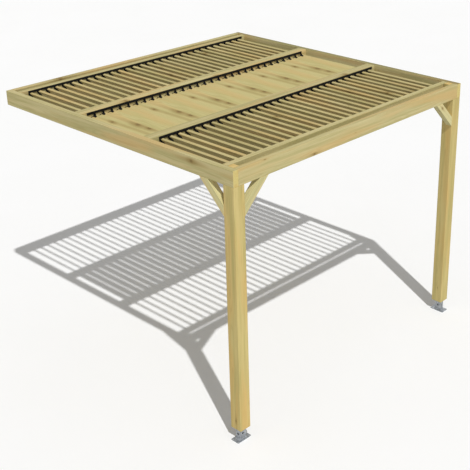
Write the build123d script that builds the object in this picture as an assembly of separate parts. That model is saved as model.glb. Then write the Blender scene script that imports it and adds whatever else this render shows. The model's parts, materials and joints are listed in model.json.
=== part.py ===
"""Lean-to wooden pergola with three bays of turning roof slats.

The frame stands on two front posts and is fixed to a wall along its back beam.
Units are millimetres. X runs to the right along the front, Y runs back to the wall, Z is up.
The origin is the centre of the wall beam's back face.
"""
import os

from build123d import *

# Frame
FRAME_WIDTH = 3018.0
FRAME_DEPTH = 3010.0
BEAM_HEIGHT = 137.0
BEAM_THICKNESS = 53.0
POST_SIDE = 115.0
POST_HEIGHT = 2334.0            # from the post's bottom end to the top of the frame
POST_CHAMFER = 4.0
BRACE_SIDE = 65.0
BRACE_LEG = 265.0               # from the post's inner corner to the brace's lower edge

# Feet
FOOT_HEIGHT = 115.0
FOOT_PLATE = (152.0, 88.0, 6.0)
FOOT_STEM = (72.0, 44.0)
FOOT_STEM_WALL = 4.0
FOOT_TOP = (96.0, 96.0, 5.0)
FOOT_HOLE_SPACING = (124.0, 60.0)
FOOT_HOLE_RADIUS = 5.5

# Bays, from the front to the wall
BAYS = ("front", "middle", "rear")
MOVING_BAY = "front"
RAIL_THICKNESS = 50.0
RAIL_HEIGHT = 87.0
FRONT_RAIL_SETBACK = 120.0      # from the frame's front face
BAY_CLEAR = 828.0               # between the two rails of a bay

# Slats
SLAT_COUNT = 30
SLAT_PITCH = 92.8
SLAT_WIDTH = 76.0
SLAT_THICKNESS = 25.0
SLAT_FRONT_GAP = 6.0
SLAT_BACK_GAP = 15.0
AXIS_DROP = 59.0                # slat axis below the top of the frame
CLOSED_ANGLE = 17.0             # slat tilt above level, right edge up
OPEN_TURN = 90.0                # from closed to open, anticlockwise seen from the front
BAY_TURN = {"front": OPEN_TURN, "middle": 0.0, "rear": OPEN_TURN}

# Axles, brackets and control bars; radii of pins and bores are to their corners
PIN_SIDES = 6
FIXED_PIN_SIDES = 4             # of axles that do not turn
AXLE_RADIUS = 5.0
AXLE_SEAT = 10.0                # depth of the axle in the rail
AXLE_BORE_RADIUS = 6.5
AXLE_BORE_DEPTH = 12.0
CRANK_RADIUS = 33.0             # slat axis to crank pin
CRANK_CLOSED_ANGLE = 45.0       # direction of the pin on a closed slat, from +X
CRANK_WIDTH = 16.0
CRANK_NOSE_RADIUS = 11.0        # rounding of both ends, about the axle and about the pin
CRANK_THICKNESS = 4.0
LEAF_LENGTH = 38.0              # along the slat, from its back end
LEAF_WIDTH = 34.0               # across the slat at its back end, from the middle line
LEAF_THICKNESS = 3.0
PIN_RADIUS = 3.5
PIN_HOLE_RADIUS = 5.0
BAR_TOP_DROP = 4.5
BAR_LENGTH = 2780.0
BAR_HEIGHT = 21.0
BAR_THICKNESS = 4.0
BAR_BACK_GAP = 5.0
TAB_WIDTH = 16.0
TAB_BELOW_PIN = 8.0

# Levels and lines that follow
TOP = BEAM_HEIGHT / 2
BEAM_BOTTOM = -BEAM_HEIGHT / 2
POST_BOTTOM = TOP - POST_HEIGHT
GROUND = POST_BOTTOM - FOOT_HEIGHT
LEFT = -FRAME_WIDTH / 2
RIGHT = FRAME_WIDTH / 2
FRONT = -FRAME_DEPTH
AXIS_Z = TOP - AXIS_DROP
BAY_LENGTH = BAY_CLEAR + 2 * RAIL_THICKNESS
SLAT_LENGTH = BAY_CLEAR - SLAT_FRONT_GAP - SLAT_BACK_GAP


def block(x0, x1, y0, y1, z0, z1):
    """A rectangular timber between two corners."""
    centre = ((x0 + x1) / 2, (y0 + y1) / 2, (z0 + z1) / 2)
    return Pos(*centre) * Box(x1 - x0, y1 - y0, z1 - z0)


def front_prism(points, y0, y1):
    """An outline in X and Z, drawn as seen from the front, carried from y0 back to y1."""
    outline = make_face(Polyline(*points, close=True))
    front_plane = Plane((0, y0, 0), x_dir=(1, 0, 0), z_dir=(0, -1, 0))
    return extrude(front_plane * outline, -(y1 - y0))


def front_pin(radius, x, z, y0, y1, sides=PIN_SIDES):
    """A pivot pin along Y, or the bore for one."""
    front_plane = Plane((x, y0, z), x_dir=(1, 0, 0), z_dir=(0, -1, 0))
    return extrude(front_plane * RegularPolygon(radius, sides), -(y1 - y0))


def bay_front(bay):
    """Y of the front face of a bay's front rail."""
    return FRONT + FRONT_RAIL_SETBACK + BAYS.index(bay) * BAY_LENGTH


def clear_span(bay):
    """Y of the two faces between which a bay's slats lie."""
    start = bay_front(bay) + RAIL_THICKNESS
    return start, start + BAY_CLEAR


def slat_axis_x(index):
    return (index - (SLAT_COUNT - 1) / 2) * SLAT_PITCH


def side_beam(side):
    """Full-depth side beam; its front end grain shows beside the front beam."""
    outer = side * FRAME_WIDTH / 2
    inner = outer - side * BEAM_THICKNESS
    return block(min(outer, inner), max(outer, inner), FRONT, 0, BEAM_BOTTOM, TOP)


def cross_beam(y0):
    """Beam between the two side beams, at the front or at the wall."""
    return block(LEFT + BEAM_THICKNESS, RIGHT - BEAM_THICKNESS, y0, y0 + BEAM_THICKNESS, BEAM_BOTTOM, TOP)


def post(side):
    """Square post, notched at the top so that a tongue stands in the corner of the beams."""
    outer = side * FRAME_WIDTH / 2
    centre = (outer - side * POST_SIDE / 2, FRONT + POST_SIDE / 2, (POST_BOTTOM + BEAM_BOTTOM) / 2)
    shaft = Pos(*centre) * Box(POST_SIDE, POST_SIDE, BEAM_BOTTOM - POST_BOTTOM)
    shaft = chamfer(shaft.edges().filter_by(Axis.Z), POST_CHAMFER)
    tongue_side = POST_SIDE - BEAM_THICKNESS
    tongue_x = outer - side * (BEAM_THICKNESS + tongue_side / 2)
    tongue_y = FRONT + BEAM_THICKNESS + tongue_side / 2
    tongue = Pos(tongue_x, tongue_y, 0) * Box(tongue_side, tongue_side, BEAM_HEIGHT)
    inner_edge = tongue.edges().filter_by(Axis.Z).sort_by_distance((0, 0, 0))[0]
    return shaft + chamfer(inner_edge, POST_CHAMFER)


def brace_outline(corner, direction):
    """A 45 degree brace below the beams, from the post's face at `corner` along `direction`."""
    upper_leg = BRACE_LEG - BRACE_SIDE * 2 ** 0.5
    return [(corner, BEAM_BOTTOM - BRACE_LEG), (corner + direction * BRACE_LEG, BEAM_BOTTOM),
            (corner + direction * upper_leg, BEAM_BOTTOM), (corner, BEAM_BOTTOM - upper_leg)]


def front_brace(side):
    corner = side * (FRAME_WIDTH / 2 - POST_SIDE)
    return front_prism(brace_outline(corner, -side), FRONT, FRONT + BRACE_SIDE)


def side_brace(side):
    outline = make_face(Polyline(*brace_outline(FRONT + POST_SIDE, 1), close=True))
    side_plane = Plane((side * FRAME_WIDTH / 2, 0, 0), x_dir=(0, 1, 0), z_dir=(1, 0, 0))
    return extrude(side_plane * outline, -side * BRACE_SIDE)


def foot(side):
    """Welded post foot: drilled base plate, box-section stem and seat plate."""
    turn = 0 if side < 0 else 90
    plate = Pos(0, 0, FOOT_PLATE[2] / 2) * Box(*FOOT_PLATE)
    plate -= GridLocations(*FOOT_HOLE_SPACING, 2, 2) * Cylinder(FOOT_HOLE_RADIUS, 4 * FOOT_PLATE[2])
    stem_height = FOOT_HEIGHT - FOOT_PLATE[2] - FOOT_TOP[2]
    bore = (FOOT_STEM[0] - 2 * FOOT_STEM_WALL, FOOT_STEM[1] - 2 * FOOT_STEM_WALL)
    stem = Box(*FOOT_STEM, stem_height) - Box(*bore, stem_height)
    stem = Pos(0, 0, FOOT_PLATE[2] + stem_height / 2) * stem
    seat = Pos(0, 0, FOOT_HEIGHT - FOOT_TOP[2] / 2) * Box(*FOOT_TOP)
    centre = (side * (FRAME_WIDTH - POST_SIDE) / 2, FRONT + POST_SIDE / 2, GROUND)
    return Pos(*centre) * Rot(0, 0, turn) * (plate + stem + seat)


def rail(bay, at_back):
    """Cross rail at one end of a bay; blind bores in its inner face take axles that turn."""
    faces = clear_span(bay)
    y0 = faces[1] if at_back else faces[0] - RAIL_THICKNESS
    timber = block(LEFT + BEAM_THICKNESS, RIGHT - BEAM_THICKNESS,
                   y0, y0 + RAIL_THICKNESS, TOP - RAIL_HEIGHT, TOP)
    if bay != MOVING_BAY:
        return timber
    bore_y0 = faces[1] if at_back else faces[0] - AXLE_BORE_DEPTH
    bores = [front_pin(AXLE_BORE_RADIUS, slat_axis_x(index), AXIS_Z, bore_y0, bore_y0 + AXLE_BORE_DEPTH)
             for index in range(SLAT_COUNT)]
    return timber - bores


def crank_offset(turn):
    """Place of the crank pin from the slat axis, for a slat turned by `turn` from closed."""
    pin = Vector(CRANK_RADIUS, 0).rotate(Axis.Z, CRANK_CLOSED_ANGLE + turn)
    return pin.X, pin.Y


def crank_outline():
    """Flat lever from the axle at the origin to the pin on +X, with a rounded nose at each end."""
    half = CRANK_WIDTH / 2
    shoulder = (CRANK_NOSE_RADIUS ** 2 - half ** 2) ** 0.5
    tip = CRANK_RADIUS + CRANK_NOSE_RADIUS
    lower = Line((-shoulder, -half), (CRANK_RADIUS + shoulder, -half))
    pin_nose = ThreePointArc(lower @ 1, (tip, 0), (CRANK_RADIUS + shoulder, half))
    upper = Line(pin_nose @ 1, (-shoulder, half))
    axle_nose = ThreePointArc(upper @ 1, (-CRANK_NOSE_RADIUS, 0), lower @ 0)
    return make_face([lower, pin_nose, upper, axle_nose])


def bracket_leaf():
    """Triangular leaf of the bracket, on top of a slat that lies level about the origin."""
    back_end = SLAT_LENGTH / 2
    corners = [(0, back_end), (0, back_end - LEAF_LENGTH), (LEAF_WIDTH, back_end)]
    outline = make_face(Polyline(*corners, close=True))
    return extrude(Pos(0, 0, SLAT_THICKNESS / 2) * outline, LEAF_THICKNESS)


def slat(bay, index):
    """One slat with its stub axles and bracket leaf.

    A slat that turns also has a crank with its pin on the back end, and its axles run into their bores;
    elsewhere the axles stop at the rails.
    """
    start, stop = clear_span(bay)
    front_end = start + SLAT_FRONT_GAP
    back_end = stop - SLAT_BACK_GAP
    x = slat_axis_x(index)
    turn = BAY_TURN[bay]
    moving = bay == MOVING_BAY
    seat = AXLE_SEAT if moving else 0
    sides = PIN_SIDES if moving else FIXED_PIN_SIDES
    board = Box(SLAT_WIDTH, SLAT_LENGTH, SLAT_THICKNESS) + bracket_leaf()
    board = Pos(x, (front_end + back_end) / 2, AXIS_Z) * Rot(0, -(CLOSED_ANGLE + turn), 0) * board
    board += front_pin(AXLE_RADIUS, x, AXIS_Z, start - seat, front_end, sides)
    board += front_pin(AXLE_RADIUS, x, AXIS_Z, back_end, stop + seat, sides)
    if not moving:
        return board
    back_plane = Plane((x, back_end, AXIS_Z), x_dir=(1, 0, 0), z_dir=(0, -1, 0))
    crank = extrude(back_plane * Rot(0, 0, CRANK_CLOSED_ANGLE + turn) * crank_outline(), -CRANK_THICKNESS)
    pin_x, pin_z = crank_offset(turn)
    bar_back = stop - BAR_BACK_GAP
    pin = front_pin(PIN_RADIUS, x + pin_x, AXIS_Z + pin_z, back_end + CRANK_THICKNESS, bar_back)
    return board + crank + pin


def control_bar(bay):
    """Flat bar over the slats' back ends, with a tab hanging to every slat.

    It begins at the first tab over open slats, and ends at the last tab over closed ones.
    In the moving bay each tab turns on a crank pin; elsewhere it reaches forward to the slat's end.
    """
    stop = clear_span(bay)[1]
    back = stop - BAR_BACK_GAP
    front = back - BAR_THICKNESS
    moving = bay == MOVING_BAY
    tab_front = front if moving else stop - SLAT_BACK_GAP
    pin_x, pin_z = crank_offset(BAY_TURN[bay])
    pins = [slat_axis_x(index) + pin_x for index in range(SLAT_COUNT)]
    bar_top = TOP - BAR_TOP_DROP
    bar_bottom = bar_top - BAR_HEIGHT
    pin_level = AXIS_Z + pin_z
    bar_start = pins[0] - TAB_WIDTH / 2
    if BAY_TURN[bay] != OPEN_TURN:
        bar_start = pins[-1] + TAB_WIDTH / 2 - BAR_LENGTH
    bar = block(bar_start, bar_start + BAR_LENGTH, front, back, bar_bottom, bar_top)
    tab_bottom = pin_level - TAB_BELOW_PIN
    bar += [block(x - TAB_WIDTH / 2, x + TAB_WIDTH / 2, tab_front, back, tab_bottom, bar_bottom)
            for x in pins]
    if moving:
        bar -= [front_pin(PIN_HOLE_RADIUS, x, pin_level, front, back) for x in pins]
    return bar


def build():
    pieces = {
        "wall_beam": cross_beam(-BEAM_THICKNESS),
        "front_beam": cross_beam(FRONT),
    }
    for name, side in (("left", -1), ("right", 1)):
        pieces[f"{name}_side_beam"] = side_beam(side)
        pieces[f"{name}_post"] = post(side)
        pieces[f"{name}_foot"] = foot(side)
        pieces[f"{name}_front_brace"] = front_brace(side)
        pieces[f"{name}_side_brace"] = side_brace(side)
    for bay in BAYS:
        pieces[f"{bay}_bay_front_rail"] = rail(bay, at_back=False)
        pieces[f"{bay}_bay_back_rail"] = rail(bay, at_back=True)
        pieces[f"{bay}_control_bar"] = control_bar(bay)
        slats = [slat(bay, index) for index in range(SLAT_COUNT)]
        if bay == MOVING_BAY:
            for index, piece in enumerate(slats):
                pieces[f"{bay}_slat_{index + 1:02d}"] = piece
        else:
            pieces[f"{bay}_slats"] = Compound(children=slats)
    return pieces


os.makedirs("parts", exist_ok=True)
for node, shape in build().items():
    export_step(shape, f"parts/{node}.step")
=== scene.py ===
import json
import math
import random

import bmesh
import bpy
from mathutils import Matrix, Vector


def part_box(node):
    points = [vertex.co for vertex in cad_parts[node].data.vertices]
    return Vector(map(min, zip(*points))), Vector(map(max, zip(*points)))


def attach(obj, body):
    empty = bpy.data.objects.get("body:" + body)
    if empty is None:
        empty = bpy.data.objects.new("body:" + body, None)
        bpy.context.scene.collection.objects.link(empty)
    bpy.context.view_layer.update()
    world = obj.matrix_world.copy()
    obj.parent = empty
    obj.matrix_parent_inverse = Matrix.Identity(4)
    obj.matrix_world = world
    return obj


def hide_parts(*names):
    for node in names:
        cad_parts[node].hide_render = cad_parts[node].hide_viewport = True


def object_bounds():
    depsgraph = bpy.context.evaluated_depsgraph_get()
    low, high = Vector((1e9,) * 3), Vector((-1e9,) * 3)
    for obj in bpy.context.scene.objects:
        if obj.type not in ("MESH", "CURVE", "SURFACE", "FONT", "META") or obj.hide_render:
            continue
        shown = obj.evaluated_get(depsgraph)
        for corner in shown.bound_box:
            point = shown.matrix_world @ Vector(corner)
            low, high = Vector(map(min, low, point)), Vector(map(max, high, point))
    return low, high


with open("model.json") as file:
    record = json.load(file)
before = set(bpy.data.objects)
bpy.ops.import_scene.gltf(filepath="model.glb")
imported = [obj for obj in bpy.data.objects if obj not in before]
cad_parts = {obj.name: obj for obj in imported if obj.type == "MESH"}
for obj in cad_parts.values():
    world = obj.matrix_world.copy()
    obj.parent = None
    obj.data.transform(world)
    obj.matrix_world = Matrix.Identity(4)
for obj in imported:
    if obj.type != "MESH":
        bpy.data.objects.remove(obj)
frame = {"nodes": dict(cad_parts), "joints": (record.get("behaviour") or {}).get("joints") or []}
cad_low, cad_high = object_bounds()

# A lean-to pergola: X runs right along the front, Y back to the wall, Z up, in metres.
X = Vector((1.0, 0.0, 0.0))
Y = Vector((0.0, 1.0, 0.0))
Z = Vector((0.0, 0.0, 1.0))
GROUND = cad_low.z
SIDES = ("left", "right")
ENDS = ("front", "back")
TURNED_TO_Y = Matrix.Rotation(math.radians(-90.0), 4, "X")

# Timber, planed a hair under size so that screw heads end flush with the frame
PLANED_OFF = 0.0003
ARRIS = 0.0025
POST_ARRIS = 0.004
SLAT_ARRIS = 0.003
ARRIS_STEPS = 2
LOG_LENGTH = 40.0
BOARD_HEART_ASIDE = 0.4
BOARD_HEART_BELOW = (0.9, 1.8)
POST_HEART_ASIDE = 0.2
POST_HEART_BELOW = (0.3, 0.5)
# This beam's top faces take a darker pine than its other faces.
DARK_TOPPED_BEAM = "right_side_beam"

# How meshes are read: angles between faces, and how squarely a face looks along a direction
SHARP_ANGLE = 0.4
SMOOTH_ANGLE = math.radians(40.0)
FLAT_ANGLE = math.radians(1.0)
SQUARELY = 0.9
MOSTLY = 0.6

# Turning slats
SLAT_WIDTH = 0.076
SLAT_THICKNESS = 0.025
SLAT_FRONT_GAP = 0.006
SLAT_BACK_GAP = 0.015
CLOSED_TILT = math.radians(17.0)
OPEN_TILT = math.radians(107.0)
BAYS = {"front": OPEN_TILT, "middle": CLOSED_TILT, "rear": OPEN_TILT}
MOVING_BAY = "front"
LEAD_SLAT = 15
PLANK_SLATS = 5
CLOSED_TONES = (0.4, 0.6)

# Slat fittings
ROUND_SIDES = 12
AXLE_RADIUS = 0.005
BUSH_RADIUS = 0.0105
BUSH_FLANGE = 0.002
BUSH_TAPER = 0.86
CRANK_THICKNESS = 0.004
CRANK_AXLE_END = 0.0095
CRANK_PIN_END = 0.009
LEAF_LENGTH = 0.040
LEAF_WIDTH = 0.034
LEAF_TOE = 0.016
LEAF_THICKNESS = 0.003
LEAF_SCREWS = ((0.010, 0.008), (0.025, 0.006))
LEAF_SCREW_RADIUS = 0.0036
LEAF_SCREW_HEIGHT = 0.0014
LEAF_SCREW_SIDES = 8
LEAF_SCREW_TAPER = 0.6
PIN_RADIUS = 0.0035
PIN_STOP = 0.0004
RIVET_RADIUS = 0.0055
RIVET_HEIGHT = 0.0016
RIVET_TAPER = 0.7

# Control bars
BAR_HEIGHT = 0.021
BAR_THICKNESS = 0.004
TAB_HALF_WIDTH = 0.008
TAB_BELOW_PIN = 0.008
TAB_CORNER = 0.006
TAB_CORNER_STEPS = 3

# Feet
PLATE_WIDTH = 0.088
PLATE_THICKNESS = 0.006
PLATE_CORNER = 0.008
PLATE_CORNER_STEPS = 4
PLATE_HOLE_RADIUS = 0.0055
HOLE_SIDES = 16
PLATE_HOLES = (0.124, 0.060)
SEAT_SIDE = 0.096
SEAT_THICKNESS = 0.005
STEM_LONG = 0.072
STEM_SHORT = 0.044
STEM_WALL = 0.004
STEM_HOLE_RADIUS = 0.010
WELD_LEG = 0.005
WELD_ROUNDING = 0.9
WELD_STEPS = 3

# Fasteners
SCREW_SIDES = 10
SCREW_RADIUS = 0.0048
SCREW_SINK = 0.003
SCREW_RECESS = 0.0024
SCREW_RIM = 0.45
BEAM_SCREWS = (0.27, 0.73)
BRACE_SCREWS = (0.13, 0.87)
BOLT_SIDES = 6
BOLT_RADIUS = 0.0098
BOLT_HEIGHT = 0.0075
WASHER_SIDES = 20
WASHER_RADIUS = 0.017
WASHER_HEIGHT = 0.0025
HEAD_TAPER = 0.95
WALL_BOLTS = 5

# Light, floor and camera
KEY_LIGHT = {"direction": (0.318, 0.641, -1.0), "strength": 2.39, "spread": 0.8}
FRONT_FILL = {"direction": (0.587, 0.809, -0.022), "strength": 0.86, "spread": 2.0}
SKY_LEVEL = 0.36
FLOOR_REACH = 40.0
CAMERA_LENS = 74.915
SENSOR_WIDTH = 36.0
CAMERA_SHIFT = (-0.1448, -0.1086)
CAMERA_PLACE = (-6.1477, -7.8690, 2.7658)
CAMERA_LOOKS = (0.68665, 0.61645, -0.38536)

scene = bpy.context.scene
chance = random.Random(41)


def shade(red, green, blue):
    """The linear colour of an 8-bit display colour."""
    def linear(level):
        level /= 255.0
        return level / 12.92 if level <= 0.04045 else ((level + 0.055) / 1.055) ** 2.4
    return linear(red), linear(green), linear(blue), 1.0


# Materials

def put(tree, kind, inputs, output=0, **settings):
    """Adds a shader node, sets it, feeds its inputs from sockets or plain values, and returns one output."""
    made = tree.nodes.new("ShaderNode" + kind)
    for key, value in settings.items():
        setattr(made, key, value)
    for key, value in inputs.items():
        if isinstance(value, bpy.types.NodeSocket):
            tree.links.new(value, made.inputs[key])
        else:
            made.inputs[key].default_value = value
    return made.outputs[output]


def math_node(tree, operation, first, second=0.0):
    return put(tree, "Math", {0: first, 1: second}, operation=operation)


def scaled(tree, value, factor):
    return math_node(tree, "MULTIPLY", value, factor)


def times(tree, vector, factors):
    return put(tree, "VectorMath", {0: vector, 1: factors}, operation="MULTIPLY")


def plus(tree, vector, other):
    return put(tree, "VectorMath", {0: vector, 1: other}, operation="ADD")


def length(tree, vector):
    return put(tree, "VectorMath", {0: vector}, output="Value", operation="LENGTH")


def soft_step(tree, value, low, high, bottom=0.0, top=1.0):
    inputs = {"Value": value, "From Min": low, "From Max": high, "To Min": bottom, "To Max": top}
    return put(tree, "MapRange", inputs, interpolation_type="SMOOTHSTEP")


def mix_colour(tree, factor, first, second, blend="MIX"):
    return put(tree, "Mix", {0: factor, 6: first, 7: second}, output=2, data_type="RGBA", blend_type=blend)


def noise(tree, vector, detail, roughness=0.55, scale=1.0, output=0):
    inputs = {"Vector": vector, "Scale": scale, "Detail": detail, "Roughness": roughness}
    return put(tree, "TexNoise", inputs, output=output)


def new_material(name):
    made = bpy.data.materials.new(name)
    made.use_nodes = True
    return made, made.node_tree, made.node_tree.nodes["Principled BSDF"]


RING_SPACING = 0.0042
RING_TURN = RING_SPACING / (2.0 * math.pi)
KNOT_RUN = 0.55
KNOT_ARC = 0.9
KNOT_SIZE = 0.016
LEAST_KNOT = 0.0001
KNOT_LENGTHWAYS = 0.6
STAIN_LENGTHWAYS = 0.4
TAIL_LENGTHWAYS = 0.10
STREAK_LENGTHWAYS = 0.03

# A wide plank shows across five closed slats: its knots and dark streaks, as along, across and size.
PLANK_KNOTS = ((0.335, 0.122, 0.027), (0.187, 0.122, 0.021), (0.555, 0.021, 0.015))
PLANK_STREAKS = ((0.30, 0.024, 0.012), (0.42, 0.110, 0.008), (0.10, 0.040, 0.010))
PLANK_WARMING = 0.08


def wood_layout(tree):
    """A board's coordinates, their drift, their sum, and the place along, out from and round the heart."""
    own = put(tree, "Attribute", {}, output="Vector", attribute_name="grain")
    slow = noise(tree, times(tree, own, (1.6, 7.0, 7.0)), 2.0, output=1)
    drift = times(tree, plus(tree, slow, (-0.5, -0.5, -0.5)), (0.0, 0.026, 0.026))
    warped = plus(tree, own, drift)
    split = tree.nodes.new("ShaderNodeSeparateXYZ")
    tree.links.new(warped, split.inputs[0])
    radius = length(tree, times(tree, warped, (0.0, 1.0, 1.0)))
    angle = math_node(tree, "ARCTAN2", split.outputs[1], split.outputs[2])
    return own, drift, warped, split.outputs[0], radius, angle


def log_knots(tree, along, radius, angle, share):
    """Branches run out from the heart here and there: the way to the nearest, and its size."""
    cell = put(tree, "CombineXYZ", {
        0: math_node(tree, "DIVIDE", along, KNOT_RUN),
        1: math_node(tree, "DIVIDE", angle, KNOT_ARC),
    })
    cells = tree.nodes.new("ShaderNodeTexVoronoi")
    cells.voronoi_dimensions = "2D"
    cells.inputs["Scale"].default_value = 1.0
    tree.links.new(cell, cells.inputs["Vector"])
    away = put(tree, "VectorMath", {0: cell, 1: cells.outputs["Position"]}, operation="SUBTRACT")
    split = tree.nodes.new("ShaderNodeSeparateXYZ")
    tree.links.new(away, split.inputs[0])
    run = scaled(tree, split.outputs[0], KNOT_RUN)
    arc = scaled(tree, scaled(tree, split.outputs[1], KNOT_ARC), radius)
    lot = tree.nodes.new("ShaderNodeSeparateColor")
    tree.links.new(cells.outputs["Color"], lot.inputs[0])
    inputs = {"Value": lot.outputs[0], "From Min": 1.0 - share, "To Max": KNOT_SIZE}
    size = math_node(tree, "MAXIMUM", put(tree, "MapRange", inputs), LEAST_KNOT)
    return put(tree, "CombineXYZ", {0: run, 1: arc}), size


def spot_distance(tree, plank, spot, lengthways):
    """How many of its own sizes a point lies from a spot of the plank, given as along, across and size."""
    along, across, size = spot
    away = plus(tree, plank, (-along, -across, 0.0))
    return length(tree, times(tree, away, (lengthways / size, 1.0 / size, 0.0)))


def timber(name, pale, green, amber, knot_share, plank_knots=(), plank_streaks=()):
    """Planed, pressure-treated pine cut from the log: growth rings, streaks along it, knots and fibre."""
    made, tree, shader = new_material(name)
    own, drift, warped, along, radius, angle = wood_layout(tree)
    away, size = log_knots(tree, along, radius, angle, knot_share)
    plank = plus(tree, put(tree, "Attribute", {}, output="Vector", attribute_name="plank"), drift)

    def knot_distance(lengthways):
        """How many of its own sizes the nearest knot lies away, drawn out along the grain."""
        nearest = math_node(tree, "DIVIDE", length(tree, times(tree, away, (lengthways, 1.0, 0.0))), size)
        for spot in plank_knots:
            nearest = math_node(tree, "MINIMUM", nearest, spot_distance(tree, plank, spot, lengthways))
        return nearest

    near = knot_distance(KNOT_LENGTHWAYS)
    around = knot_distance(STAIN_LENGTHWAYS)
    tail = knot_distance(TAIL_LENGTHWAYS)
    for spot in plank_streaks:
        tail = math_node(tree, "MINIMUM", tail, spot_distance(tree, plank, spot, STREAK_LENGTHWAYS))
    knot = soft_step(tree, near, 0.4, 1.15, 1.0, 0.0)
    rim = soft_step(tree, near, 0.3, 0.8, 1.0, 0.0)
    stain = soft_step(tree, around, 0.6, 2.3, 1.0, 0.0)
    halo = soft_step(tree, tail, 0.3, 1.7, 1.0, 0.0)
    swirl = scaled(tree, soft_step(tree, near, 0.8, 3.5, 1.0, 0.0), 0.008)

    phase = math_node(tree, "DIVIDE", math_node(tree, "ADD", radius, swirl), RING_TURN)
    late = soft_step(tree, math_node(tree, "SINE", phase), 0.1, 1.0)
    streak = noise(tree, times(tree, warped, (1.2, 30.0, 30.0)), 3.0, 0.55)
    patch = noise(tree, times(tree, warped, (1.1, 9.0, 9.0)), 2.0)
    fleck = noise(tree, times(tree, own, (7.0, 190.0, 190.0)), 3.0)
    fibre = noise(tree, times(tree, own, (24.0, 620.0, 620.0)), 2.0)
    tone = put(tree, "Attribute", {}, output="Fac", attribute_name="tone")

    colour = mix_colour(tree, soft_step(tree, streak, 0.34, 0.68), pale, green)
    warm = math_node(tree, "ADD", patch, scaled(tree, tone, 0.12))
    if plank_knots:
        lengthways = put(tree, "SeparateXYZ", {0: plank})
        warm = math_node(tree, "ADD", warm, scaled(tree, lengthways, PLANK_WARMING))
    colour = mix_colour(tree, soft_step(tree, warm, 0.5, 0.76, 0.0, 0.75), colour, amber)
    colour = mix_colour(tree, scaled(tree, late, 0.13), colour, shade(140, 110, 58))
    colour = mix_colour(tree, soft_step(tree, fleck, 0.52, 0.75, 0.0, 0.16), colour, shade(140, 122, 72))
    colour = mix_colour(tree, scaled(tree, halo, 0.34), colour, shade(138, 104, 52))
    colour = mix_colour(tree, scaled(tree, stain, 0.5), colour, shade(142, 120, 66))
    heartwood = mix_colour(tree, rim, shade(128, 98, 52), shade(92, 68, 36))
    colour = mix_colour(tree, scaled(tree, knot, 0.48), colour, heartwood)
    level = put(tree, "MapRange", {"Value": tone, "To Min": 0.93, "To Max": 1.05})
    grey = put(tree, "CombineColor", {0: level, 1: level, 2: level})
    colour = mix_colour(tree, 1.0, colour, grey, "MULTIPLY")
    tree.links.new(colour, shader.inputs["Base Color"])

    tree.links.new(soft_step(tree, fleck, 0.3, 0.8, 0.66, 0.86), shader.inputs["Roughness"])
    shader.inputs["Specular IOR Level"].default_value = 0.25
    grain = math_node(tree, "ADD", scaled(tree, late, 0.35), scaled(tree, fibre, 0.65))
    height = math_node(tree, "SUBTRACT", grain, scaled(tree, knot, 0.4))
    bump = put(tree, "Bump", {"Height": height, "Strength": 0.3, "Distance": 0.0007})
    tree.links.new(bump, shader.inputs["Normal"])
    return made


def end_grain(name, pale, ring):
    """A sawn end: the growth rings in arcs about the heart, with open pores and a few drying checks."""
    made, tree, shader = new_material(name)
    own, _, _, _, radius, angle = wood_layout(tree)
    phase = math_node(tree, "DIVIDE", radius, RING_TURN)
    late = soft_step(tree, math_node(tree, "SINE", phase), -0.2, 1.0)
    pore = noise(tree, times(tree, own, (60.0, 480.0, 480.0)), 3.0)
    cloud = noise(tree, times(tree, own, (8.0, 22.0, 22.0)), 3.0)
    spokes = put(tree, "CombineXYZ", {0: scaled(tree, angle, 3.0), 1: scaled(tree, radius, 9.0)})
    check = soft_step(tree, noise(tree, spokes, 2.0), 0.70, 0.74)
    colour = mix_colour(tree, scaled(tree, late, 0.5), pale, ring)
    colour = mix_colour(tree, soft_step(tree, cloud, 0.45, 0.7, 0.0, 0.45), colour, shade(200, 164, 96))
    colour = mix_colour(tree, soft_step(tree, pore, 0.55, 0.75, 0.0, 0.4), colour, shade(140, 108, 58))
    colour = mix_colour(tree, scaled(tree, check, 0.6), colour, shade(84, 62, 34))
    tree.links.new(colour, shader.inputs["Base Color"])
    tree.links.new(soft_step(tree, pore, 0.3, 0.7, 0.78, 0.92), shader.inputs["Roughness"])
    shader.inputs["Specular IOR Level"].default_value = 0.2
    height = math_node(tree, "SUBTRACT", math_node(tree, "ADD", late, pore), check)
    bump = put(tree, "Bump", {"Height": height, "Strength": 0.3, "Distance": 0.0006})
    tree.links.new(bump, shader.inputs["Normal"])
    return made


def coated_black(name):
    """Black powder coat on steel: a fine orange-peel skin, rubbed a little greyer in places."""
    made, tree, shader = new_material(name)
    place = put(tree, "TexCoord", {}, output="Object")
    peel = noise(tree, place, 2.0, scale=420.0)
    rub = noise(tree, place, 4.0, 0.65, scale=38.0)
    colour = mix_colour(tree, soft_step(tree, rub, 0.5, 0.8), shade(14, 13, 12), shade(26, 25, 23))
    tree.links.new(colour, shader.inputs["Base Color"])
    tree.links.new(soft_step(tree, rub, 0.3, 0.75, 0.58, 0.76), shader.inputs["Roughness"])
    shader.inputs["Specular IOR Level"].default_value = 0.14
    bump = put(tree, "Bump", {"Height": peel, "Strength": 0.25, "Distance": 0.0003})
    tree.links.new(bump, shader.inputs["Normal"])
    return made


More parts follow.
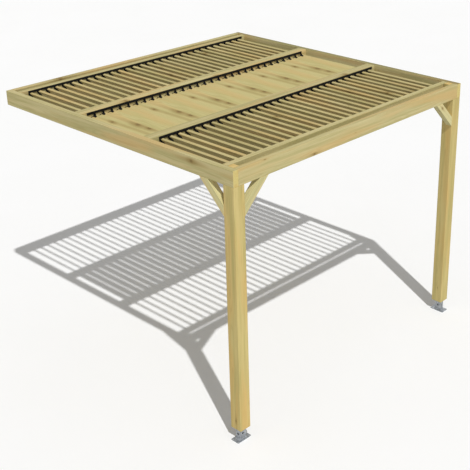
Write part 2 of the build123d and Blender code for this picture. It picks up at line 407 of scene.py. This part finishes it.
def galvanised(name, light, dark):
    """Hot-dip zinc: crystals of slightly different greys, dulled by a thin bloom."""
    made, tree, shader = new_material(name)
    place = put(tree, "TexCoord", {}, output="Object")
    crystal = put(tree, "TexVoronoi", {"Vector": place, "Scale": 85.0}, output="Color")
    part = put(tree, "SeparateColor", {0: crystal})
    bloom = noise(tree, place, 5.0, 0.6, scale=24.0)
    colour = mix_colour(tree, part, light, dark)
    colour = mix_colour(tree, soft_step(tree, bloom, 0.45, 0.75, 0.0, 0.55), colour, shade(160, 163, 164))
    tree.links.new(colour, shader.inputs["Base Color"])
    shader.inputs["Metallic"].default_value = 0.75
    tree.links.new(soft_step(tree, bloom, 0.3, 0.7, 0.38, 0.58), shader.inputs["Roughness"])
    height = math_node(tree, "ADD", part, bloom)
    bump = put(tree, "Bump", {"Height": height, "Strength": 0.15, "Distance": 0.0004})
    tree.links.new(bump, shader.inputs["Normal"])
    return made


BEAM_PINE = timber("beam_pine", shade(201, 189, 139), shade(178, 169, 115), shade(205, 174, 116), 0.10)
POST_PINE = timber("post_pine", shade(206, 188, 126), shade(184, 170, 108), shade(210, 176, 109), 0.08)
# The braces take a paler pine than the posts and beams: painted light on their shaded faces.
BRACE_PINE_PAINTED_LIGHT = timber("brace_pine_painted_light", shade(211, 202, 150), shade(193, 186, 134), shade(214, 190, 136), 0.08)
SLAT_PINE = timber("slat_pine", shade(200, 186, 134), shade(180, 168, 113), shade(200, 172, 114), 0.16)
CLOSED_PINE = timber(
    "closed_slat_pine", shade(203, 191, 135), shade(191, 182, 123), shade(205, 179, 121), 0.0,
    PLANK_KNOTS, PLANK_STREAKS
)
# A darker pine for the top faces of one side beam.
DARK_TOP_PINE = timber("dark_top_beam_pine", shade(152, 145, 98), shade(136, 131, 84), shade(154, 134, 88), 0.10)
BEAM_END = end_grain("beam_end_grain", shade(214, 198, 130), shade(186, 160, 92))
POST_END = end_grain("post_end_grain", shade(220, 194, 128), shade(198, 160, 94))
BLACK_COAT = coated_black("black_powder_coat")
ZINC = galvanised("galvanised_zinc", shade(186, 190, 194), shade(140, 144, 148))
SCREW_ZINC = galvanised("screw_zinc", shade(206, 190, 140), shade(172, 154, 104))


# Pieces

def finish_piece(name, bm, materials, body, nodes=(), round_edges=False):
    """Makes the object of a mesh, gives it its materials, parents it to its body and hides the CAD nodes it
    replaces.
    """
    bmesh.ops.recalc_face_normals(bm, faces=bm.faces[:])
    mesh = bpy.data.meshes.new(name)
    bm.to_mesh(mesh)
    bm.free()
    for material in materials:
        mesh.materials.append(material)
    if round_edges:
        mesh.shade_smooth()
        mesh.set_sharp_from_angle(angle=SMOOTH_ANGLE)
    made = bpy.data.objects.new(name, mesh)
    scene.collection.objects.link(made)
    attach(made, body)
    if nodes:
        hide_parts(*nodes)


def axes(along, across, centre):
    """The place of a piece whose own X is along and own Y is across."""
    along = along.normalized()
    across = across.normalized()
    place = Matrix((along, across, along.cross(across))).transposed().to_4x4()
    place.translation = centre
    return place


def new_boards():
    bm = bmesh.new()
    bm.verts.layers.float_vector.new("grain")
    bm.verts.layers.float_vector.new("plank")
    bm.verts.layers.float.new("tone")
    return bm


def cube(bm, place, size):
    return bmesh.ops.create_cube(bm, size=1.0, matrix=place @ Matrix.Diagonal((*size, 1.0)))["verts"]


def only_verts(items):
    return [item for item in items if isinstance(item, bmesh.types.BMVert)]


def round_off(bm, geom, width, steps, affect="EDGES"):
    bmesh.ops.bevel(
        bm, geom=geom, offset=width, offset_type="OFFSET", segments=steps,
        profile=0.5, affect=affect, material=-1,
    )


def ease_edges(bm, kept, width):
    """Rounds every sharp edge that isn't on the vertices kept."""
    sharp = [
        edge for edge in bm.edges
        if edge.verts[0] not in kept and edge.calc_face_angle(0.0) > SHARP_ANGLE
    ]
    round_off(bm, sharp, width, ARRIS_STEPS)


def lay_grain(bm, kept, place, log, board_tone, plank_corner):
    """Gives the vertices that aren't kept their place in the log and on the plank, and sorts out the ends."""
    grain = bm.verts.layers.float_vector["grain"]
    plank = bm.verts.layers.float_vector["plank"]
    tone = bm.verts.layers.float["tone"]
    back = place.inverted()
    fresh = [vertex for vertex in bm.verts if vertex not in kept]
    for vertex in fresh:
        own = back @ vertex.co
        vertex[grain] = own + log
        vertex[plank] = own + plank_corner
        vertex[tone] = board_tone
    along = place.col[0].to_3d()
    for face in {face for vertex in fresh for face in vertex.link_faces}:
        face.normal_update()
        face.material_index = 1 if abs(face.normal.dot(along)) > MOSTLY else 0


def sawn_log(width, thickness):
    """Where a flat-sawn board's middle lies in its log: the heart is outside it, below one face."""
    return Vector((
        chance.uniform(0.0, LOG_LENGTH),
        chance.uniform(-BOARD_HEART_ASIDE, BOARD_HEART_ASIDE) * width,
        chance.choice((-1.0, 1.0)) * chance.uniform(*BOARD_HEART_BELOW) * thickness,
    ))


def add_board(bm, place, size, arris=ARRIS, log=None, tone=None, plank_corner=Vector()):
    """A straight board with eased edges; its log and tone are drawn where none are given."""
    kept = set(bm.verts)
    cube(bm, place, size)
    ease_edges(bm, kept, arris)
    log = sawn_log(size[1], size[2]) if log is None else log
    tone = chance.random() if tone is None else tone
    lay_grain(bm, kept, place, log, tone, plank_corner)


def box_place(low, high):
    """The place and size of a straight timber that fills a box, its grain along the longest side."""
    span = high - low - 2.0 * PLANED_OFF * Vector((1.0, 1.0, 1.0))
    along, across, through = sorted(range(3), key=lambda side: -span[side])
    units = (X, Y, Z)
    return axes(units[along], units[across], (low + high) / 2.0), (span[along], span[across], span[through])


def straight_timber(node, tone=None):
    bm = new_boards()
    add_board(bm, *box_place(*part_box(node)), tone=tone)
    pines = [BEAM_PINE, BEAM_END]
    # The top faces of that beam get the darker pine.
    if node == DARK_TOPPED_BEAM:
        pines.append(DARK_TOP_PINE)
        for face in bm.faces:
            if face.normal.z > MOSTLY:
                face.material_index = pines.index(DARK_TOP_PINE)
    finish_piece(node + "_timber", bm, pines, "frame", (node,))


# Frame

BEAM_TONES = {"wall_beam": 0.3, "front_beam": 0.55, "left_side_beam": 0.5, "right_side_beam": 0.35}
for node, tone in BEAM_TONES.items():
    straight_timber(node, tone)
for bay in BAYS:
    for end in ENDS:
        straight_timber(f"{bay}_bay_{end}_rail")

BEAM_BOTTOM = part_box("front_beam")[0].z
BEAM_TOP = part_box("front_beam")[1].z
FRONT_BEAM_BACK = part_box("front_beam")[1].y
POST_TONES = {"left": 0.85, "right": 0.3}
screws = []


def post(side):
    """A square post whose top is notched for the two beams, leaving a tongue in their corner."""
    low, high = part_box(f"{side}_post")
    beam_low, beam_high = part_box(f"{side}_side_beam")
    beam_inside = beam_high.x if side == "left" else beam_low.x
    shoulder = Vector((high.x, high.y, BEAM_BOTTOM))
    bm = new_boards()
    place, size = box_place(low, shoulder)
    cube(bm, place, size)
    for point, normal in (((beam_inside, 0.0, 0.0), X), ((0.0, FRONT_BEAM_BACK, 0.0), Y)):
        tops = [face for face in bm.faces if face.normal.z > SQUARELY]
        around = {edge for face in tops for edge in face.edges}
        around |= {vertex for face in tops for vertex in face.verts}
        bmesh.ops.bisect_plane(bm, geom=tops + list(around), plane_co=point, plane_no=normal)
    inwards = 1.0 if side == "left" else -1.0
    tongue = [
        face for face in bm.faces
        if face.normal.z > SQUARELY
        and (face.calc_center_median().x - beam_inside) * inwards > 0.0
        and face.calc_center_median().y > FRONT_BEAM_BACK
    ]
    raised = bmesh.ops.extrude_discrete_faces(bm, faces=tongue)["faces"]
    bmesh.ops.translate(bm, vec=Z * (BEAM_TOP - BEAM_BOTTOM), verts=raised[0].verts)
    ease_edges(bm, set(), POST_ARRIS)
    log = Vector((
        chance.uniform(0.0, LOG_LENGTH),
        chance.uniform(-POST_HEART_ASIDE, POST_HEART_ASIDE) * size[1],
        chance.uniform(*POST_HEART_BELOW) * size[2],
    ))
    lay_grain(bm, set(), place, log, POST_TONES[side], Vector())
    finish_piece(f"{side}_post_timber", bm, (POST_PINE, POST_END), "frame", (f"{side}_post",))


def brace(node, outwards):
    """A knee brace at 45 degrees from a post to the underside of a beam; outwards points from the post."""
    low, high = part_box(node)
    span = high - low
    reach = span.z
    sideways = outwards.cross(Z)
    depth = abs(span.dot(sideways))
    middle = (low + high) / 2.0
    corner = middle - outwards * reach / 2.0 + Z * reach / 2.0
    short = reach - depth * math.sqrt(2.0)
    place = axes(outwards + Z, sideways, corner + (outwards - Z) * (reach + short) / 4.0)
    bm = new_boards()
    cube(bm, place, ((reach + short) / math.sqrt(2.0), depth, depth))
    leans = math.copysign(1.0, place.col[2].to_3d().dot(Z - outwards))
    back = place.inverted()
    for vertex in bm.verts:
        own = back @ vertex.co
        own.x -= math.copysign(1.0, own.x) * own.z * leans
        vertex.co = place @ own
    ease_edges(bm, set(), ARRIS)
    lay_grain(bm, set(), place, sawn_log(depth, depth), chance.random(), Vector())
    # The braces' paler pine is painted light.
    finish_piece(node + "_timber", bm, (BRACE_PINE_PAINTED_LIGHT, POST_END), "frame", (node,))
    foot_end = corner - Z * reach
    down = (outwards - Z).normalized()
    for part in BRACE_SCREWS:
        screws.append((foot_end + (outwards + Z) * reach * part + down * PLANED_OFF, down))


for side, inwards in zip(SIDES, (X, -X)):
    post(side)
    brace(f"{side}_front_brace", inwards)
    brace(f"{side}_side_brace", Y)


# Turning slats

turns = {joint["name"]: Vector(joint["pos_m"]) for joint in frame["joints"]}
SLATS = sorted(node for node in frame["nodes"] if node.startswith("front_slat_"))
SLAT_X = [turns[f"{node}_turn"].x for node in SLATS]
SLAT_PITCH = SLAT_X[1] - SLAT_X[0]
AXIS_Z = turns[f"{SLATS[0]}_turn"].z
LEAD = turns[f"front_slat_{LEAD_SLAT:02d}_turn"]
PIN_OPEN = turns["front_bar_pivot"] - LEAD
CRANK_RADIUS = math.hypot(PIN_OPEN.x, PIN_OPEN.z)
CRANK_LEAD = math.atan2(PIN_OPEN.z, PIN_OPEN.x) - OPEN_TILT
PLANK_LOG = Vector((7.0, -0.20, 0.13))


def clear_bay(bay):
    """Where a bay's opening starts and stops between its two rails."""
    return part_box(f"{bay}_bay_front_rail")[1].y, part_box(f"{bay}_bay_back_rail")[0].y


def slat_ends(bay):
    start, stop = clear_bay(bay)
    return start + SLAT_FRONT_GAP, stop - SLAT_BACK_GAP


def at_angle(angle, reach=1.0):
    return Vector((math.cos(angle), 0.0, math.sin(angle))) * reach


def pin_offset(bay):
    return at_angle(BAYS[bay] + CRANK_LEAD, CRANK_RADIUS)


def add_slat(bm, bay, index):
    """One slat; the closed ones are laid like strips of one wide plank after another."""
    front, back = slat_ends(bay)
    place = axes(Y, at_angle(BAYS[bay]), Vector((SLAT_X[index], (front + back) / 2.0, AXIS_Z)))
    size = (back - front, SLAT_WIDTH, SLAT_THICKNESS)
    if BAYS[bay] != CLOSED_TILT:
        add_board(bm, place, size, SLAT_ARRIS)
        return
    strip = Vector((0.0, index % PLANK_SLATS * SLAT_PITCH, 0.0))
    plank_corner = strip + X * size[0] / 2.0
    add_board(bm, place, size, SLAT_ARRIS, PLANK_LOG + strip, chance.uniform(*CLOSED_TONES), plank_corner)


def rod(bm, x, z, front, back, radius, taper=1.0):
    """A round bar along Y; its back end is taper times as wide."""
    place = Matrix.Translation((x, (front + back) / 2.0, z)) @ TURNED_TO_Y
    bmesh.ops.create_cone(
        bm, cap_ends=True, segments=ROUND_SIDES, radius1=radius, radius2=radius * taper,
        depth=back - front, matrix=place,
    )


def lever(bm, ends, front, back):
    """A flat lever with round ends, given as (x, z, radius)."""
    corners = []
    for x, z, radius in ends:
        for y in (front, back):
            place = Matrix.Translation((x, y, z)) @ TURNED_TO_Y
            ring = bmesh.ops.create_circle(bm, segments=ROUND_SIDES, radius=radius, matrix=place)
            corners += ring["verts"]
    hull = bmesh.ops.convex_hull(bm, input=corners)
    inside = only_verts(hull["geom_interior"] + hull["geom_unused"])
    bmesh.ops.delete(bm, geom=list(set(inside)), context="VERTS")
    outside = [vertex for vertex in corners if vertex.is_valid]
    rims = {edge for vertex in outside for face in vertex.link_faces for edge in face.edges}
    bmesh.ops.dissolve_limit(bm, angle_limit=FLAT_ANGLE, edges=list(rims), verts=outside)


def leaf(bm, place):
    """The bracket's leaf with its two screws; own X runs from the slat's end, own Z out of its face."""
    kept = set(bm.verts)
    outline = ((0.0, 0.0), (LEAF_LENGTH, 0.0), (LEAF_LENGTH, LEAF_TOE), (0.0, LEAF_WIDTH))
    face = bm.faces.new([bm.verts.new((x, y, 0.0)) for x, y in outline])
    raised = bmesh.ops.extrude_face_region(bm, geom=[face], use_keep_orig=True)["geom"]
    bmesh.ops.translate(bm, vec=Z * LEAF_THICKNESS, verts=only_verts(raised))
    for x, y in LEAF_SCREWS:
        seat = Matrix.Translation((x, y, LEAF_THICKNESS + LEAF_SCREW_HEIGHT / 2.0))
        bmesh.ops.create_cone(
            bm, cap_ends=True, segments=LEAF_SCREW_SIDES, radius1=LEAF_SCREW_RADIUS,
            radius2=LEAF_SCREW_RADIUS * LEAF_SCREW_TAPER, depth=LEAF_SCREW_HEIGHT, matrix=seat,
        )
    bmesh.ops.transform(bm, matrix=place, verts=[vertex for vertex in bm.verts if vertex not in kept])


def add_fittings(bm, bay, x):
    """A slat's steel: an axle at each end, and at its back the bracket with its leaf, crank and pin."""
    start, stop = clear_bay(bay)
    front, back = slat_ends(bay)
    pin = pin_offset(bay)
    bar_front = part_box(f"{bay}_control_bar")[1].y - BAR_THICKNESS
    rod(bm, x, AXIS_Z, start - BUSH_FLANGE, front, AXLE_RADIUS)
    rod(bm, x, AXIS_Z, back + CRANK_THICKNESS, stop + BUSH_FLANGE, AXLE_RADIUS)
    ends = ((x, AXIS_Z, CRANK_AXLE_END), (x + pin.x, AXIS_Z + pin.z, CRANK_PIN_END))
    lever(bm, ends, back, back + CRANK_THICKNESS)
    rod(bm, x + pin.x, AXIS_Z + pin.z, back + CRANK_THICKNESS, bar_front - PIN_STOP, PIN_RADIUS)
    face = at_angle(BAYS[bay] + math.radians(90.0), SLAT_THICKNESS / 2.0)
    leaf(bm, axes(-Y, at_angle(BAYS[bay]), Vector((x, back, AXIS_Z)) + face))


for index, node in enumerate(SLATS):
    bm = new_boards()
    add_slat(bm, MOVING_BAY, index)
    finish_piece(node + "_board", bm, (SLAT_PINE, BEAM_END), node, (node,))
    bm = bmesh.new()
    add_fittings(bm, MOVING_BAY, SLAT_X[index])
    finish_piece(node + "_bracket", bm, (BLACK_COAT,), node, round_edges=True)

for bay in BAYS:
    if bay != MOVING_BAY:
        bm = new_boards()
        for index in range(len(SLATS)):
            add_slat(bm, bay, index)
        pine = CLOSED_PINE if BAYS[bay] == CLOSED_TILT else SLAT_PINE
        finish_piece(f"{bay}_slat_boards", bm, (pine, BEAM_END), "frame", (f"{bay}_slats",))
        bm = bmesh.new()
        for x in SLAT_X:
            add_fittings(bm, bay, x)
        finish_piece(f"{bay}_slat_brackets", bm, (BLACK_COAT,), "frame", round_edges=True)
    bm = bmesh.new()
    start, stop = clear_bay(bay)
    for x in SLAT_X:
        rod(bm, x, AXIS_Z, start, start + BUSH_FLANGE, BUSH_RADIUS, taper=BUSH_TAPER)
        rod(bm, x, AXIS_Z, stop - BUSH_FLANGE, stop, BUSH_RADIUS * BUSH_TAPER, taper=1.0 / BUSH_TAPER)
    finish_piece(f"{bay}_axle_bushes", bm, (BLACK_COAT,), "frame", round_edges=True)


# Control bars

def control_bar(bay, body):
    """A flat bar with a tab down to every crank pin, riveted at the back."""
    low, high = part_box(f"{bay}_control_bar")
    front = high.y - BAR_THICKNESS
    pin = pin_offset(bay)
    pins = [x + pin.x for x in SLAT_X]
    pin_z = AXIS_Z + pin.z
    bar_low = Vector((low.x, front, high.z - BAR_HEIGHT))
    bm = bmesh.new()
    cube(bm, Matrix.Translation((bar_low + high) / 2.0), high - bar_low)
    for x in pins:
        for edge in (x - TAB_HALF_WIDTH, x + TAB_HALF_WIDTH):
            everything = bm.verts[:] + bm.edges[:] + bm.faces[:]
            bmesh.ops.bisect_plane(bm, geom=everything, plane_co=(edge, 0.0, 0.0), plane_no=X)
    under = [
        face for face in bm.faces
        if face.normal.z < -SQUARELY
        and min(abs(face.calc_center_median().x - x) for x in pins) < TAB_HALF_WIDTH / 2.0
    ]
    tabs = bmesh.ops.extrude_discrete_faces(bm, faces=under)["faces"]
    drop = bar_low.z - (pin_z - TAB_BELOW_PIN)
    bmesh.ops.translate(bm, vec=-Z * drop, verts=[vertex for face in tabs for vertex in face.verts])
    corners = [
        edge for face in tabs for edge in face.edges
        if abs((edge.verts[0].co - edge.verts[1].co).y) > BAR_THICKNESS / 2.0
    ]
    round_off(bm, corners, TAB_CORNER, TAB_CORNER_STEPS)
    for x in pins:
        rod(bm, x, pin_z, high.y, high.y + RIVET_HEIGHT, RIVET_RADIUS, taper=RIVET_TAPER)
    nodes = (f"{bay}_control_bar",)
    finish_piece(f"{bay}_bar_comb", bm, (BLACK_COAT,), body, nodes, round_edges=True)


for bay in BAYS:
    control_bar(bay, "front_bar" if bay == MOVING_BAY else "frame")


# Feet

def drilled_plate(bm, place, long, wide, thick, corner, holes, radius):
    """A plate with round corners, drilled at the holes; it rises from its own XY plane by its thickness."""
    kept = set(bm.verts)
    turned = Matrix.Diagonal((long / math.sqrt(2.0), wide / math.sqrt(2.0), 1.0, 1.0))
    turned = turned @ Matrix.Rotation(math.radians(45.0), 4, "Z")
    # A circle of four sides is the plate's square outline, stretched to its length and width.
    outline = bmesh.ops.create_circle(bm, segments=4, radius=1.0, matrix=turned)["verts"]
    if corner:
        round_off(bm, outline, corner, PLATE_CORNER_STEPS, "VERTICES")
    for x, y in holes:
        spot = Matrix.Translation((x, y, 0.0))
        bmesh.ops.create_circle(bm, segments=HOLE_SIDES, radius=radius, matrix=spot)
    loops = [edge for edge in bm.edges if edge.verts[0] not in kept]
    filled = bmesh.ops.triangle_fill(bm, use_beauty=True, use_dissolve=False, edges=loops, normal=Z)
    faces = [item for item in filled["geom"] if isinstance(item, bmesh.types.BMFace)]
    raised = bmesh.ops.extrude_face_region(bm, geom=faces, use_keep_orig=True)["geom"]
    bmesh.ops.translate(bm, vec=Z * thick, verts=only_verts(raised))
    fresh = [vertex for vertex in bm.verts if vertex not in kept]
    bmesh.ops.transform(bm, matrix=place, verts=fresh)


def weld(bm, centre, z, long, wide, upwards):
    """A fillet weld round the stem, widest at the plate."""
    far = z + upwards * WELD_LEG
    size = (long + 2.0 * WELD_LEG, wide + 2.0 * WELD_LEG, WELD_LEG)
    bead = cube(bm, Matrix.Translation((centre.x, centre.y, (z + far) / 2.0)), size)
    edges = {edge for vertex in bead for edge in vertex.link_edges}
    rim = [edge for edge in edges if all(abs(vertex.co.z - far) < WELD_LEG / 4.0 for vertex in edge.verts)]
    round_off(bm, rim, WELD_LEG * WELD_ROUNDING, WELD_STEPS)


def foot(side):
    """A galvanised post foot: a drilled ground plate, a box stem with drain holes, and the post's seat."""
    low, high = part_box(f"{side}_foot")
    centre = Vector(((low.x + high.x) / 2.0, (low.y + high.y) / 2.0, low.z))
    turned = side == "right"
    plate_x, plate_y = (PLATE_WIDTH, high.y - low.y) if turned else (high.x - low.x, PLATE_WIDTH)
    stem_x, stem_y = (STEM_SHORT, STEM_LONG) if turned else (STEM_LONG, STEM_SHORT)
    apart_x, apart_y = reversed(PLATE_HOLES) if turned else PLATE_HOLES
    bolts = [(apart_x / 2.0 * a, apart_y / 2.0 * b) for a in (-1.0, 1.0) for b in (-1.0, 1.0)]
    seat_z = high.z - SEAT_THICKNESS
    bm = bmesh.new()
    ground = Matrix.Translation(centre)
    drilled_plate(bm, ground, plate_x, plate_y, PLATE_THICKNESS, PLATE_CORNER, bolts, PLATE_HOLE_RADIUS)
    seat = Matrix.Translation((centre.x, centre.y, seat_z))
    drilled_plate(bm, seat, SEAT_SIDE, SEAT_SIDE, SEAT_THICKNESS, PLATE_CORNER / 2.0, (), 0.0)
    stem_height = seat_z - (low.z + PLATE_THICKNESS)
    middle = centre + Z * (PLATE_THICKNESS + stem_height / 2.0)
    between = stem_x - 2.0 * STEM_WALL
    walls = ((X, stem_x, stem_y), (-X, stem_x, stem_y), (Y, stem_y, between), (-Y, stem_y, between))
    for outward, apart, wide in walls:
        place = axes(Z, outward.cross(Z), middle + outward * (apart / 2.0 - STEM_WALL))
        drilled_plate(bm, place, stem_height, wide, STEM_WALL, 0.0, ((0.0, 0.0),), STEM_HOLE_RADIUS)
    weld(bm, centre, low.z + PLATE_THICKNESS, stem_x, stem_y, 1.0)
    weld(bm, centre, seat_z, stem_x, stem_y, -1.0)
    finish_piece(f"{side}_foot_steel", bm, (ZINC,), "frame", (f"{side}_foot",))


for side in SIDES:
    foot(side)


# Fasteners

def add_screw(bm, spot, out):
    """A countersunk screw head, flush with the timber, with a recess for the driver."""
    place = Matrix.Translation(spot) @ out.to_track_quat("Z", "Y").to_matrix().to_4x4()
    ring = bmesh.ops.create_circle(bm, cap_ends=True, segments=SCREW_SIDES, radius=SCREW_RADIUS, matrix=place)
    head = ring["verts"][0].link_faces[0]
    skirt = bmesh.ops.extrude_edge_only(bm, edges=head.edges[:])["geom"]
    bmesh.ops.translate(bm, vec=-out * SCREW_SINK, verts=only_verts(skirt))
    bmesh.ops.inset_region(bm, faces=[head], thickness=SCREW_RADIUS * SCREW_RIM)
    bmesh.ops.translate(bm, vec=-out * SCREW_RECESS, verts=head.verts[:])


def add_bolt(bm, spot, out):
    """A hexagon bolt head on its washer."""
    place = Matrix.Translation(spot) @ out.to_track_quat("Z", "Y").to_matrix().to_4x4()
    for sides, radius, start, height in (
        (WASHER_SIDES, WASHER_RADIUS, 0.0, WASHER_HEIGHT),
        (BOLT_SIDES, BOLT_RADIUS, WASHER_HEIGHT, BOLT_HEIGHT),
    ):
        lifted = place @ Matrix.Translation((0.0, 0.0, start + height / 2.0))
        bmesh.ops.create_cone(
            bm, cap_ends=True, segments=sides, radius1=radius, radius2=radius * HEAD_TAPER,
            depth=height, matrix=lifted,
        )


def frame_fasteners():
    """Screws through the side beams, the front beam and the braces, and bolts through the wall beam."""
    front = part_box("front_beam")[0].y
    wall_low, wall_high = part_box("wall_beam")
    joined = ["front_beam", "wall_beam"]
    joined += [f"{bay}_bay_{end}_rail" for bay in BAYS for end in ENDS]
    for side, outward in zip(SIDES, (-X, X)):
        beam_low, beam_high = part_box(f"{side}_side_beam")
        outside = beam_low.x if side == "left" else beam_high.x
        post_low, post_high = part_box(f"{side}_post")
        boxes = [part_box(node) for node in joined]
        boxes.append((Vector((0.0, FRONT_BEAM_BACK, BEAM_BOTTOM)), Vector((0.0, post_high.y, BEAM_TOP))))
        for low, high in boxes:
            for part in BEAM_SCREWS:
                spot = Vector((outside, (low.y + high.y) / 2.0, low.z + (high.z - low.z) * part))
                screws.append((spot, outward))
        inside = beam_high.x if side == "left" else beam_low.x
        post_inside = post_high.x if side == "left" else post_low.x
        for part in BEAM_SCREWS:
            z = BEAM_BOTTOM + (BEAM_TOP - BEAM_BOTTOM) * part
            screws.append((Vector(((inside + post_inside) / 2.0, front, z)), -Y))
    bm = bmesh.new()
    for spot, out in screws:
        add_screw(bm, spot, out)
    finish_piece("frame_screws", bm, (SCREW_ZINC,), "frame", round_edges=True)
    bm = bmesh.new()
    step = (wall_high.x - wall_low.x) / WALL_BOLTS
    for count in range(WALL_BOLTS):
        spot = Vector((wall_low.x + (count + 0.5) * step, wall_low.y, (wall_low.z + wall_high.z) / 2.0))
        add_bolt(bm, spot, -Y)
    finish_piece("wall_beam_bolts", bm, (ZINC,), "frame")


frame_fasteners()


# Light, floor and camera

scene.view_settings.view_transform = "Standard"


def seen_directly(tree):
    """1 for what the camera sees, also in metal or through glass; 0 for light that falls on the pergola."""
    path = tree.nodes.new("ShaderNodeLightPath")
    seen = math_node(tree, "MAXIMUM", path.outputs["Is Camera Ray"], path.outputs["Is Glossy Ray"])
    return math_node(tree, "MAXIMUM", seen, path.outputs["Is Transmission Ray"])


def floor():
    made, tree, shader = new_material("pale_floor")
    place = put(tree, "TexCoord", {}, output="Object")
    cloud = noise(tree, place, 3.0, scale=0.7)
    pale = mix_colour(tree, cloud, shade(252, 252, 251), shade(255, 255, 255))
    colour = mix_colour(tree, seen_directly(tree), shade(188, 188, 186), pale)
    tree.links.new(colour, shader.inputs["Base Color"])
    shader.inputs["Roughness"].default_value = 0.9
    shader.inputs["Specular IOR Level"].default_value = 0.1
    bm = bmesh.new()
    level = Matrix.Translation((0.0, 0.0, GROUND))
    bmesh.ops.create_grid(bm, x_segments=1, y_segments=1, size=FLOOR_REACH, matrix=level)
    mesh = bpy.data.meshes.new("floor")
    bm.to_mesh(mesh)
    bm.free()
    mesh.materials.append(made)
    ground = bpy.data.objects.new("floor", mesh)
    scene.collection.objects.link(ground)


def sun(name, direction, strength, spread):
    lamp = bpy.data.lights.new(name, "SUN")
    lamp.energy = strength
    lamp.angle = math.radians(spread)
    made = bpy.data.objects.new(name, lamp)
    made.rotation_euler = Vector(direction).to_track_quat("-Z", "Y").to_euler()
    scene.collection.objects.link(made)


def soft_sky(level):
    world = bpy.data.worlds.new("soft_sky")
    world.use_nodes = True
    scene.world = world
    tree = world.node_tree
    sky = tree.nodes["Background"]
    sky.inputs["Color"].default_value = (1.0, 1.0, 1.0, 1.0)
    sky.inputs["Strength"].default_value = level
    white = put(tree, "Background", {"Color": (1.0, 1.0, 1.0, 1.0), "Strength": 1.0})
    mixed = put(tree, "MixShader", {0: seen_directly(tree), 1: sky.outputs[0], 2: white})
    tree.links.new(mixed, tree.nodes["World Output"].inputs["Surface"])


def camera():
    lens = bpy.data.cameras.new("photo_camera")
    lens.lens = CAMERA_LENS
    lens.sensor_width = SENSOR_WIDTH
    lens.shift_x, lens.shift_y = CAMERA_SHIFT
    made = bpy.data.objects.new("photo_camera", lens)
    made.location = CAMERA_PLACE
    made.rotation_euler = Vector(CAMERA_LOOKS).to_track_quat("-Z", "Y").to_euler()
    scene.collection.objects.link(made)
    scene.camera = made


floor()
sun("key_light", **KEY_LIGHT)
sun("front_fill", **FRONT_FILL)
soft_sky(SKY_LEVEL)
camera()
